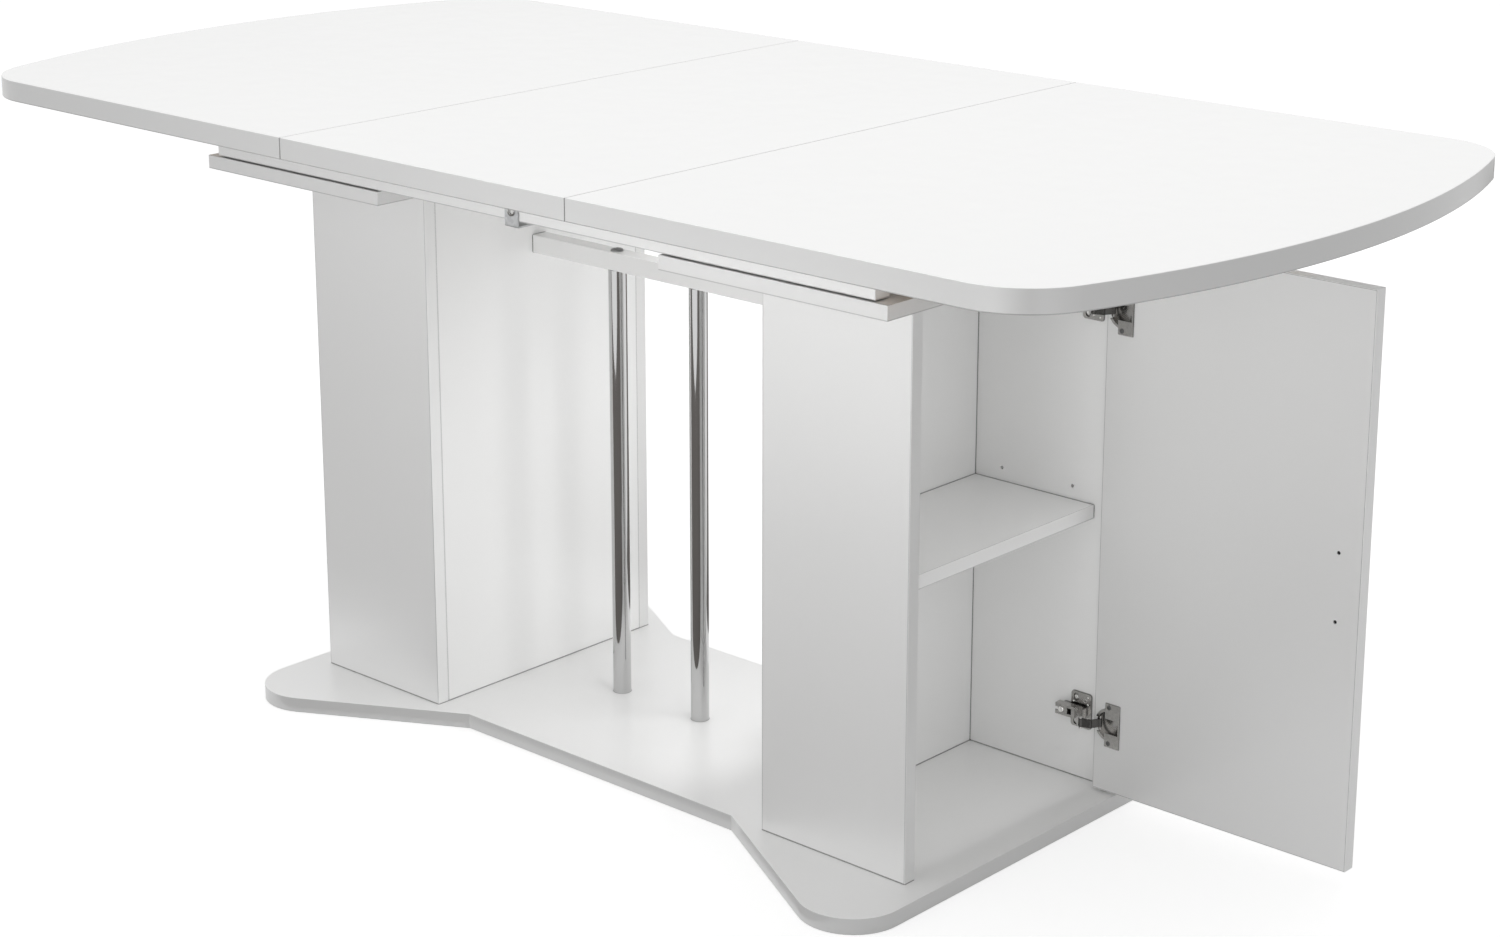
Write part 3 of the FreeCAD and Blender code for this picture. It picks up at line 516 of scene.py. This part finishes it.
def new_tree(name, sizes):
    """An empty tree with a geometry input, named sizes in metres, a turn seed and a finish."""
    tree = bpy.data.node_groups.new(name, "GeometryNodeTree")
    tree.interface.new_socket("Places", in_out="INPUT", socket_type="NodeSocketGeometry")
    for label in sizes:
        tree.interface.new_socket(label, in_out="INPUT", socket_type="NodeSocketFloat")
    tree.interface.new_socket("Turn seed", in_out="INPUT", socket_type="NodeSocketInt")
    tree.interface.new_socket("Finish", in_out="INPUT", socket_type="NodeSocketMaterial")
    tree.interface.new_socket("Made", in_out="OUTPUT", socket_type="NodeSocketGeometry")
    return tree, tree.nodes.new("NodeGroupInput"), tree.nodes.new("NodeGroupOutput")


def triple(tree, x, y, z):
    return step(tree, "ShaderNodeCombineXYZ", {0: x, 1: y, 2: z}).outputs[0]


# Edges that bend by more than this, in radians, stay crisp.
crisp_angle = 0.35


def place_and_dress(tree, given, out, shape, turned=True):
    """Sets the shape on every place, facing outwards, and makes it plain dressed mesh."""
    facing = step(tree, "GeometryNodeInputNamedAttribute", {"Name": "facing"},
                  data_type="FLOAT_VECTOR")
    upright = step(tree, "FunctionNodeAlignRotationToVector",
                   {"Vector": facing.outputs["Attribute"]}, axis="Z")
    turn = upright.outputs["Rotation"]
    if turned:
        angle = step(tree, "FunctionNodeRandomValue",
                     {2: 0.0, 3: math.pi, "Seed": given.outputs["Turn seed"]}, data_type="FLOAT")
        spin = step(tree, "FunctionNodeAxisAngleToRotation",
                    {"Axis": (0.0, 0.0, 1.0), "Angle": angle.outputs[1]})
        turn = step(tree, "FunctionNodeRotateRotation", {0: turn, 1: spin.outputs[0]},
                    rotation_space="LOCAL").outputs[0]
    set_out = step(tree, "GeometryNodeInstanceOnPoints", {"Points": given.outputs["Places"],
                   "Instance": shape, "Rotation": turn})
    real = step(tree, "GeometryNodeRealizeInstances", {"Geometry": set_out.outputs["Instances"]})
    smooth = step(tree, "GeometryNodeSetShadeSmooth", {"Geometry": real.outputs[0]}, domain="FACE")
    bend = step(tree, "GeometryNodeInputMeshEdgeAngle")
    crisp = step(tree, "FunctionNodeCompare", {0: bend.outputs["Unsigned Angle"], 1: crisp_angle},
                 data_type="FLOAT", operation="GREATER_THAN")
    edges = step(tree, "GeometryNodeSetShadeSmooth", {"Geometry": smooth.outputs[0],
                 "Selection": crisp.outputs[0], "Shade Smooth": False}, domain="EDGE")
    dressed = step(tree, "GeometryNodeSetMaterial", {"Geometry": edges.outputs[0],
                   "Material": given.outputs["Finish"]})
    tree.links.new(dressed.outputs[0], out.inputs["Made"])


# The recess is given in shares of the head's radius, the thread in shares of the shank's, and the
# crown by the power that makes it fuller than a half ball.
recess_length = 1.15
recess_width = 0.26
recess_depth = 0.36
thread_depth = 0.08
crown_power = 0.58


def screw_tree(name, countersunk):
    """Head, cross recess and threaded shank, with the head's face up and its seat at zero."""
    tree, given, out = new_tree(name, ("Head radius", "Head height", "Shank radius", "Shank length",
                                       "Thread pitch"))
    radius, height = given.outputs["Head radius"], given.outputs["Head height"]
    shank, length = given.outputs["Shank radius"], given.outputs["Shank length"]
    if countersunk:
        depth = sum_of(tree, "SUBTRACT", radius, shank)
        cone = step(tree, "GeometryNodeMeshCone", {"Vertices": 28, "Radius Top": radius,
                    "Radius Bottom": shank, "Depth": depth})
        sunk = triple(tree, 0.0, 0.0, sum_of(tree, "MULTIPLY", depth, -1.0))
        head = step(tree, "GeometryNodeTransform", {"Geometry": cone.outputs["Mesh"],
                    "Translation": sunk}).outputs[0]
    else:
        ball = step(tree, "GeometryNodeMeshUVSphere", {"Segments": 28, "Rings": 12, "Radius": 1.0})
        here = step(tree, "GeometryNodeInputPosition")
        split = step(tree, "ShaderNodeSeparateXYZ", {0: here.outputs[0]})
        flat = triple(tree, split.outputs[0], split.outputs[1], 0.0)
        across = step(tree, "ShaderNodeVectorMath", {0: flat}, operation="LENGTH").outputs["Value"]
        fuller = sum_of(tree, "POWER", sum_of(tree, "MAXIMUM", across, 0.0001), crown_power - 1.0)
        side = step(tree, "ShaderNodeVectorMath", {0: flat, "Scale": sum_of(tree, "MULTIPLY", fuller,
                    radius)}, operation="SCALE").outputs["Vector"]
        rise = sum_of(tree, "POWER", sum_of(tree, "MAXIMUM", split.outputs[2], 0.0), crown_power)
        crown = triple(tree, 0.0, 0.0, sum_of(tree, "MULTIPLY", rise, height))
        shaped = step(tree, "ShaderNodeVectorMath", {0: side, 1: crown}, operation="ADD")
        head = step(tree, "GeometryNodeSetPosition", {"Geometry": ball.outputs["Mesh"],
                    "Position": shaped.outputs["Vector"]}).outputs[0]
    slot_length = sum_of(tree, "MULTIPLY", radius, recess_length)
    slot_width = sum_of(tree, "MULTIPLY", radius, recess_width)
    slot_depth = sum_of(tree, "MULTIPLY", radius, recess_depth)
    lift = triple(tree, 0.0, 0.0, height)
    bars = []
    for size in (triple(tree, slot_length, slot_width, slot_depth),
                 triple(tree, slot_width, slot_length, slot_depth)):
        bar = step(tree, "GeometryNodeMeshCube", {"Size": size})
        bars.append(step(tree, "GeometryNodeTransform", {"Geometry": bar.outputs["Mesh"],
                    "Translation": lift}).outputs[0])
    cut = step(tree, "GeometryNodeMeshBoolean", {"Mesh 1": head}, operation="DIFFERENCE",
               solver="EXACT")
    for bar in bars:
        tree.links.new(bar, cut.inputs["Mesh 2"])
    rod = step(tree, "GeometryNodeMeshCylinder", {"Vertices": 14, "Side Segments": 40,
               "Radius": shank, "Depth": length})
    here = step(tree, "GeometryNodeInputPosition")
    split = step(tree, "ShaderNodeSeparateXYZ", {0: here.outputs[0]})
    around = sum_of(tree, "ARCTAN2", split.outputs[1], split.outputs[0])
    winding = sum_of(tree, "DIVIDE", sum_of(tree, "MULTIPLY", split.outputs[2], 2 * math.pi),
                     given.outputs["Thread pitch"])
    wave = sum_of(tree, "SINE", sum_of(tree, "ADD", winding, around))
    crest = sum_of(tree, "ADD", sum_of(tree, "MULTIPLY", wave, thread_depth), 1.0 - thread_depth)
    threaded = triple(tree, sum_of(tree, "MULTIPLY", split.outputs[0], crest),
                      sum_of(tree, "MULTIPLY", split.outputs[1], crest),
                      sum_of(tree, "SUBTRACT", split.outputs[2], sum_of(tree, "MULTIPLY", length, 0.5)))
    wound = step(tree, "GeometryNodeSetPosition", {"Geometry": rod.outputs["Mesh"],
                 "Position": threaded})
    whole = step(tree, "GeometryNodeJoinGeometry")
    tree.links.new(cut.outputs["Mesh"], whole.inputs[0])
    tree.links.new(wound.outputs[0], whole.inputs[0])
    place_and_dress(tree, given, out, whole.outputs[0])
    return tree


def made_by(tree, name, places, sizes, seed, finish, body, nodes=()):
    """Runs the tree on the places, with sizes in millimetres, and fits the plain mesh on its body."""
    points = bpy.data.meshes.new(name + "_places")
    points.from_pydata([place for place, _ in places], [], [])
    ways = points.attributes.new("facing", "FLOAT_VECTOR", "POINT")
    ways.data.foreach_set("vector", [number for _, facing in places for number in facing])
    maker = bpy.data.objects.new(name + "_places", points)
    scene.collection.objects.link(maker)
    modifier = maker.modifiers.new("setting_out", "NODES")
    modifier.node_group = tree
    for label, value in sizes.items():
        set_input(modifier, label, value * MM)
    set_input(modifier, "Turn seed", seed)
    set_input(modifier, "Finish", finish)
    bpy.context.view_layer.update()
    made = bpy.data.meshes.new_from_object(maker.evaluated_get(bpy.context.evaluated_depsgraph_get()))
    bpy.data.objects.remove(maker)
    made.name = name
    piece = bpy.data.objects.new(name, made)
    scene.collection.objects.link(piece)
    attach(piece, body)
    if nodes:
        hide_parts(*nodes)
    return piece


pan_screws = screw_tree("pan_head_screws", countersunk=False)
flat_screws = screw_tree("countersunk_screws", countersunk=True)
up, down = (0.0, 0.0, 1.0), (0.0, 0.0, -1.0)


def frame_screws(name, node, places, shank, length, seed):
    """Countersunk screws of one frame piece; their heads lie flush."""
    made_by(flat_screws, name, places, {"Head radius": 5.0, "Head height": 0.0, "Shank radius": shank,
            "Shank length": length, "Thread pitch": 2.4}, seed=seed, finish=screw_zinc,
            body="table_frame", nodes=(node,))


frame_screws("base_cross_screws", "base_screws", seats("base_screws", down, 0.0),
             shank=3.2, length=50.0, seed=3)
frame_screws("deck_cross_screws", "deck_screws", seats("deck_screws", up, 0.0),
             shank=3.2, length=50.0, seed=4)
frame_screws("pole_floor_cross_screws", "pole_floor_screws", seats("pole_floor_screws", down, 0.0),
             shank=2.9, length=34.0, seed=5)
frame_screws("beam_cross_screws", "beam_screws", both_ways("beam_screws", X, 0.0),
             shank=3.2, length=50.0, seed=6)

# ==== poles, their plugs, the beam and its bolts =================================================
# Three polished chrome tubes stand between the base plate and a square beam wrapped in foil. A
# black nylon plug in each end takes a floor screw below and a dark domed bolt through the beam.
pole_radius = 11.0
pole_wall = 1.5
pole_eased_edge = 0.3
pole_mirror = plated("polished_chrome", tone=(0.57, 0.57, 0.57), gloss=0.05, streak=(1.0, 1.0, 0.05),
                     scale=220.0, dull=0.97)


def tube_tree():
    """An upright drawn tube with eased ends, on every place."""
    tree, given, out = new_tree("drawn_tubes", ("Tube radius", "Tube wall", "Tube length", "Eased edge"))
    wall = given.outputs["Tube wall"]
    middle = sum_of(tree, "SUBTRACT", given.outputs["Tube radius"], sum_of(tree, "MULTIPLY", wall, 0.5))
    ring = step(tree, "GeometryNodeCurvePrimitiveCircle", {"Resolution": 96, "Radius": middle})
    section = step(tree, "GeometryNodeCurvePrimitiveQuadrilateral",
                   {"Width": wall, "Height": given.outputs["Tube length"]})
    eased = step(tree, "GeometryNodeFilletCurve", {"Curve": section.outputs["Curve"],
                 "Radius": given.outputs["Eased edge"], "Count": 2}, mode="POLY")
    tube = step(tree, "GeometryNodeCurveToMesh", {"Curve": ring.outputs["Curve"],
                "Profile Curve": eased.outputs["Curve"]})
    rise = triple(tree, 0.0, 0.0, sum_of(tree, "MULTIPLY", given.outputs["Tube length"], 0.5))
    stood = step(tree, "GeometryNodeTransform", {"Geometry": tube.outputs["Mesh"], "Translation": rise})
    place_and_dress(tree, given, out, stood.outputs[0], turned=False)
    return tree


pole_feet = []
for node in ("left_pole", "middle_pole", "right_pole"):
    low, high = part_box(node)
    pole_feet.append((((low.x + high.x) / 2, (low.y + high.y) / 2, low.z), up))
pole_length = (high.z - low.z) / MM
made_by(tube_tree(), "chrome_poles", pole_feet, {"Tube radius": pole_radius, "Tube wall": pole_wall,
        "Tube length": pole_length, "Eased edge": pole_eased_edge}, seed=0, finish=pole_mirror,
        body="table_frame", nodes=("left_pole", "middle_pole", "right_pole"))

plastic_grain_height = 0.00002
plastic_gloss_range = 0.05


def moulded(name, tone, gloss):
    """Moulded plastic with a fine even texture."""
    finish, tree, shader = finish_of(name)
    grain = cloud(tree, surface_place(tree), scale=1200.0, detail=2.0)
    covered(tree, shader, blend_colours(tree, grain, dulled(tone, share=0.85), tone),
            between(tree, grain, gloss - plastic_gloss_range, gloss + plastic_gloss_range))
    relief(tree, shader, grain, plastic_grain_height)
    return finish


beam_gloss = 0.24
wears(moulded("black_nylon", tone=(0.030, 0.030, 0.032), gloss=0.5), "pole_plugs")
# Painted shade darkens the beam's creases.
beam_foil = crease_shaded(white_foil("beam_foil", foil_tone, beam_gloss, foil_peel))
wears(beam_foil, "pole_beam")
bolt_head_height = 3.0
bolt_black = plated("blackened_steel", tone=(0.30, 0.30, 0.30), gloss=0.30, streak=even, scale=300.0)
made_by(pan_screws, "beam_bolts", seats("pole_bolts", up, bolt_head_height), {"Head radius": 7.75,
        "Head height": bolt_head_height, "Shank radius": 2.9, "Shank length": 38.0,
        "Thread pitch": 2.0}, seed=7, finish=bolt_black, body="table_frame",
        nodes=("pole_bolts",))

# ==== rails, spacers, guides, runner bars and strap ==============================================
# Foil-wrapped rails stand on edge on thin dark strips. Planed beech guides are let into them, and
# grooved beech bars under the halves slide on those. A bent galvanised strap ties the rails.
rail_tone = (0.90, 0.90, 0.895)
rail_gloss = 0.36
# Painted shade darkens the rails' creases and runs along their lower arris.
rail_foil = crease_shaded(white_foil("rail_foil", rail_tone, rail_gloss, foil_peel))
wears(low_arris_shaded(rail_foil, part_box("front_rail")[0].z), "rear_rail", "front_rail")
wears(moulded("dark_spacer_strip", tone=(0.035, 0.035, 0.036), gloss=0.6), "rail_spacers")
wears(beech("planed_beech", along=(0.05, 1.0, 1.0)), "rear_guide", "front_guide",
      "right_runner_bars", "left_runner_bars")

crystal_dark = (0.55, 0.56, 0.57)
crystal_light = (0.68, 0.69, 0.70)
crystal_gloss_range = (0.30, 0.42)


def spangled(name):
    """Galvanised strip: flat zinc crystals a few millimetres across, each of its own shade."""
    finish, tree, shader = finish_of(name)
    crystals = step(tree, "ShaderNodeTexVoronoi", {"Vector": surface_place(tree), "Scale": 260.0})
    shade = step(tree, "ShaderNodeSeparateXYZ", {0: crystals.outputs["Color"]}).outputs[0]
    covered(tree, shader, blend_colours(tree, shade, crystal_dark, crystal_light, start=0.0, end=1.0),
            between(tree, shade, *crystal_gloss_range))
    shader.inputs["Metallic"].default_value = 1.0
    return finish


wears(spangled("galvanised_strip"), "centre_strap")
pan_height = 2.4


def under_top_screws(name, node, places, length, seed, body):
    """Pan-head screws of the rails, the strap and the runner bars; only their lengths differ."""
    made_by(pan_screws, name, places, {"Head radius": 5.5, "Head height": pan_height,
            "Shank radius": 2.4, "Shank length": length, "Thread pitch": 1.8}, seed=seed,
            finish=screw_zinc, body=body, nodes=(node,))


under_top_screws("strap_cross_screws", "strap_screws", both_ways("strap_screws", Y, pan_height),
                 length=18.0, seed=8, body="table_frame")
under_top_screws("rail_cross_screws", "rail_screws", seats("rail_screws", down, pan_height),
                 length=42.0, seed=9, body="table_frame")
for side, seed in (("right_", 10), ("left_", 11)):
    under_top_screws(side + "runner_cross_screws", side + "runner_screws",
                     seats(side + "runner_screws", down, pan_height),
                     length=34.0, seed=seed, body=side + "top_half")

# ==== table top ==================================================================================
# Two bow-ended halves and the insert leaf between them, of 24 mm board under a harder and glossier
# white laminate, with small rounded edges and hairline seams across the top.
top_gloss = 0.25
top_peel = 0.000001
top_mottle_tone = 0.998
# This tone is partly the banding's own grey and partly painted shade.
top_banding_and_shade_tone = 0.71
seam_line = 1.0 * MM
seam_tone = 0.25


def seamed(finish, seam_place):
    """Darkens the hairlines down the long edges, where the leaf meets the halves."""
    tree = finish.node_tree
    off_seam = sum_of(tree, "SUBTRACT", sum_of(tree, "ABSOLUTE", place_along(tree, X)), seam_place)
    line = between(tree, sum_of(tree, "ABSOLUTE", off_seam), 0.0, 1.0, seam_line / 2, seam_line)
    broad_face = between(tree, faces_along(tree, Z), seam_tone, 1.0, start=0.5, end=0.9)
    meeting_face = between(tree, faces_along(tree, X), 0.0, 1.0, start=0.7, end=0.9)
    shade = sum_of(tree, "MAXIMUM", sum_of(tree, "MAXIMUM", broad_face, meeting_face), line)
    return tinted(finish, shade)


top_laminate = white_foil("white_top_laminate", foil_tone, top_gloss, top_peel, top_mottle_tone)
low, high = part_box("insert_leaf")
# Painted shade greys the top's upright faces and runs along its lower arris.
seamed(banded_and_shaded(top_laminate, top_banding_and_shade_tone), high.x)
wears(low_arris_shaded(top_laminate, low.z), "right_top_half", "left_top_half", "insert_leaf")

# ==== concealed hinges ===========================================================================
# Pressed steel hinges, nickel plated: a slotted plate on the panel, a cranked arm over its spine, a
# dark burnished link, and a cup let into the door. Small zinc screws hold them.
nickel = plated("nickel_plated_pressing", tone=(0.50, 0.49, 0.475), gloss=0.22, streak=even,
                scale=500.0, dull=0.8, eased=0.5 * MM)
# Painted shade darkens the hinges' creases and recesses.
crease_shaded(nickel, reach=5.0 * MM, tone=0.3)
for side in ("right_", "left_"):
    wears(nickel, side + "hinge_plates", side + "hinge_arms", side + "hinge_cups", side + "cup_pins")
wears(nickel, "hinge_arm_rivets")
link_steel = plated("burnished_link_steel", tone=(0.09, 0.088, 0.085), gloss=0.22,
                    streak=(1.0, 1.0, 0.1), scale=500.0, dull=0.8, eased=0.7 * MM)
wears(link_steel, "right_hinge_links", "left_hinge_links")


def pip_tree():
    """A shallow dome pressed up from the sheet, on every place."""
    tree, given, out = new_tree("pressed_pips", ("Pip radius", "Pip height"))
    ball = step(tree, "GeometryNodeMeshUVSphere", {"Segments": 24, "Rings": 12, "Radius": 1.0})
    radius = given.outputs["Pip radius"]
    size = triple(tree, radius, radius, given.outputs["Pip height"])
    dome = step(tree, "GeometryNodeTransform", {"Geometry": ball.outputs["Mesh"], "Scale": size})
    place_and_dress(tree, given, out, dome.outputs[0], turned=False)
    return tree


def ring_tree():
    """A round bead pressed up from the sheet, on every place."""
    tree, given, out = new_tree("pressed_rings", ("Ring radius", "Bead radius"))
    ring = step(tree, "GeometryNodeCurvePrimitiveCircle", {"Resolution": 40,
                "Radius": given.outputs["Ring radius"]})
    bead = step(tree, "GeometryNodeCurvePrimitiveCircle", {"Resolution": 20,
                "Radius": given.outputs["Bead radius"]})
    made = step(tree, "GeometryNodeCurveToMesh", {"Curve": ring.outputs["Curve"],
                "Profile Curve": bead.outputs["Curve"]})
    place_and_dress(tree, given, out, made.outputs[0], turned=False)
    return tree


# Pips and rings lie so far in from the plate's end at the door, and so far above and below its middle.
plate_sheet = 2.0
pip_offsets = ((4.5, 17.0), (4.5, 8.3), (24.2, 8.3))
ring_offsets = ((8.0, 12.5),)


def on_plates(offsets):
    """Places on all four plates, on the face of their sheet."""
    found = []
    for side, way in (("right_", -1.0), ("left_", 1.0)):
        for low, high in islands(side + "hinge_plates"):
            corner = high if way < 0 else low
            middle = (low.z + high.z) / 2
            for inset, rise in offsets:
                for sign in (1.0, -1.0):
                    found.append(((corner.x + way * inset * MM, corner.y + way * plate_sheet * MM,
                                   middle + sign * rise * MM), (0.0, way, 0.0)))
    return found


bright_nickel = plated("bright_nickel", tone=(0.86, 0.855, 0.84), gloss=0.20, streak=even,
                       scale=500.0, dull=0.9)
made_by(pip_tree(), "plate_pips", on_plates(pip_offsets), {"Pip radius": 1.3, "Pip height": 0.7},
        seed=0, finish=bright_nickel, body="table_frame")
made_by(ring_tree(), "plate_rings", on_plates(ring_offsets), {"Ring radius": 2.2, "Bead radius": 0.3},
        seed=0, finish=bright_nickel, body="table_frame")


def hinge_screws(name, node, facing, radius, height, length, seed, body, finish):
    """Small pan-head screws of one hinge piece."""
    made_by(pan_screws, name, seats(node, facing, height), {"Head radius": radius,
            "Head height": height, "Shank radius": 1.6, "Shank length": length, "Thread pitch": 1.2},
            seed=seed, finish=finish, body=body, nodes=(node,))


frontwards, rightwards = (0.0, -1.0, 0.0), (1.0, 0.0, 0.0)
dark_zinc = plated("dark_zinc", tone=(0.20, 0.20, 0.20), gloss=0.35, streak=even, scale=400.0)
hinge_screws("plate_cross_screws", "hinge_plate_screws", frontwards, radius=2.9, height=1.1,
             length=13.0, seed=12, body="table_frame", finish=bright_nickel)
hinge_screws("arm_cross_screws", "hinge_arm_screws", frontwards, radius=3.6, height=1.6,
             length=7.0, seed=13, body="table_frame", finish=bright_nickel)
hinge_screws("right_cup_cross_screws", "right_cup_screws", frontwards, radius=2.8, height=0.8,
             length=11.0, seed=14, body="right_door", finish=dark_zinc)
hinge_screws("left_cup_cross_screws", "left_cup_screws", rightwards, radius=2.8, height=0.8,
             length=11.0, seed=15, body="left_door", finish=dark_zinc)

# ==== handles ====================================================================================
# A plain bar on two round posts, of steel plated in satin nickel. Headless studs of dark steel go
# through the door into the posts, and end a little below its inner face.
satin_nickel = plated("satin_nickel_handle", tone=(0.60, 0.60, 0.59), gloss=0.28,
                      streak=(1.0, 1.0, 0.05), scale=700.0, dull=0.9)
wears(satin_nickel, "right_handle", "left_handle")
stud_steel = plated("dark_stud_steel", tone=(0.05, 0.05, 0.05), gloss=0.45, streak=even, scale=400.0)
wears(stud_steel, "right_handle_studs", "left_handle_studs")

# ==== finish =====================================================================================
# The box of the dressed table is worked out.
low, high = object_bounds()
